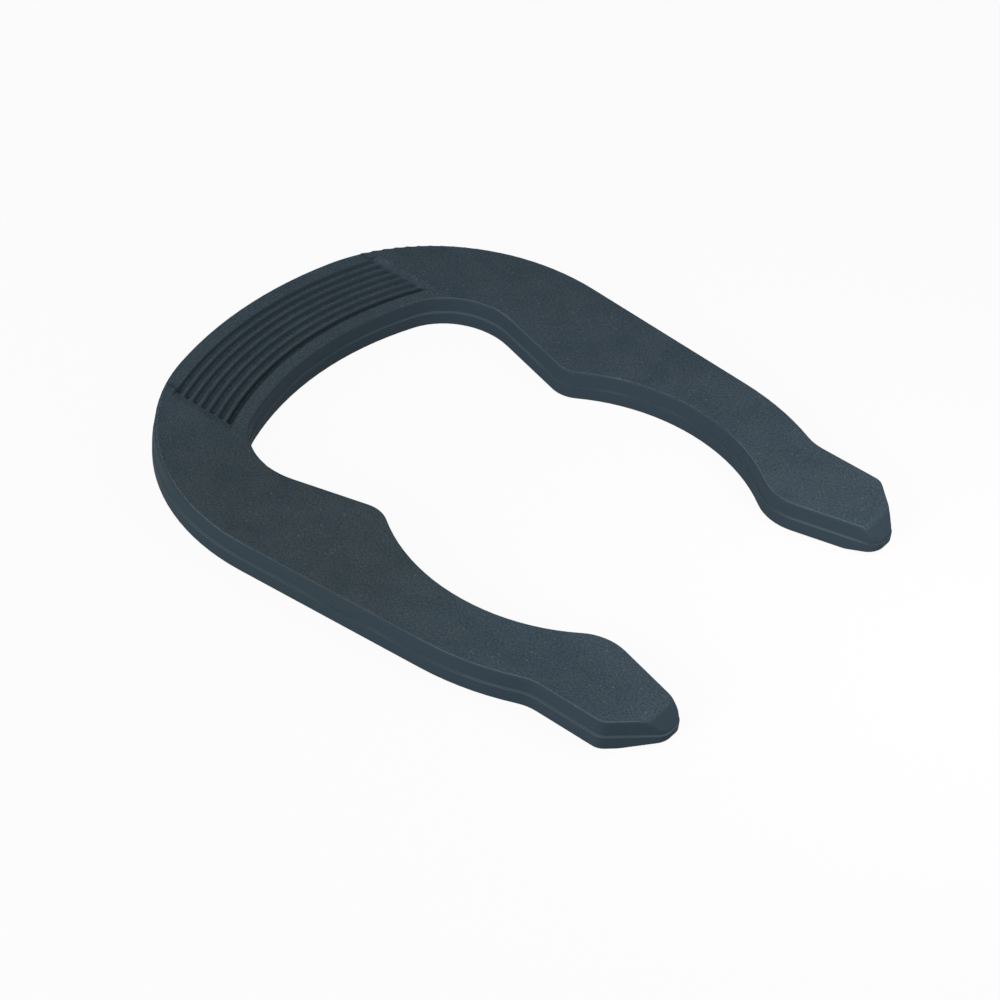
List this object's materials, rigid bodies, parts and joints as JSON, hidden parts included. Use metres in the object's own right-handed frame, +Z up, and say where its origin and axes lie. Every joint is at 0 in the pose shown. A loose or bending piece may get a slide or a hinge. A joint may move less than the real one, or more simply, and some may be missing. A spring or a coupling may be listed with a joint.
{
  "type": "retaining clip",
  "caption": "Flat U-shaped moulded plastic retaining clip that snaps sideways onto a round neck, with curved gripping arms, lead-in tips and a ribbed thumb panel on the bow.",
  "frame": {"origin": "centre of the gripped neck, on the clip's underside", "axes": "+X out of the open mouth, +Y across the clip, +Z up out of the face with the ribbed thumb panel"},
  "size_m": [0.0357, 0.0296, 0.0018],
  "materials": {
    "plastic": "fine matte grain, dark slate grey"
  },
  "bodies": {
    "root": {"retaining_clip": "plastic"}
  },
  "joints": []
}
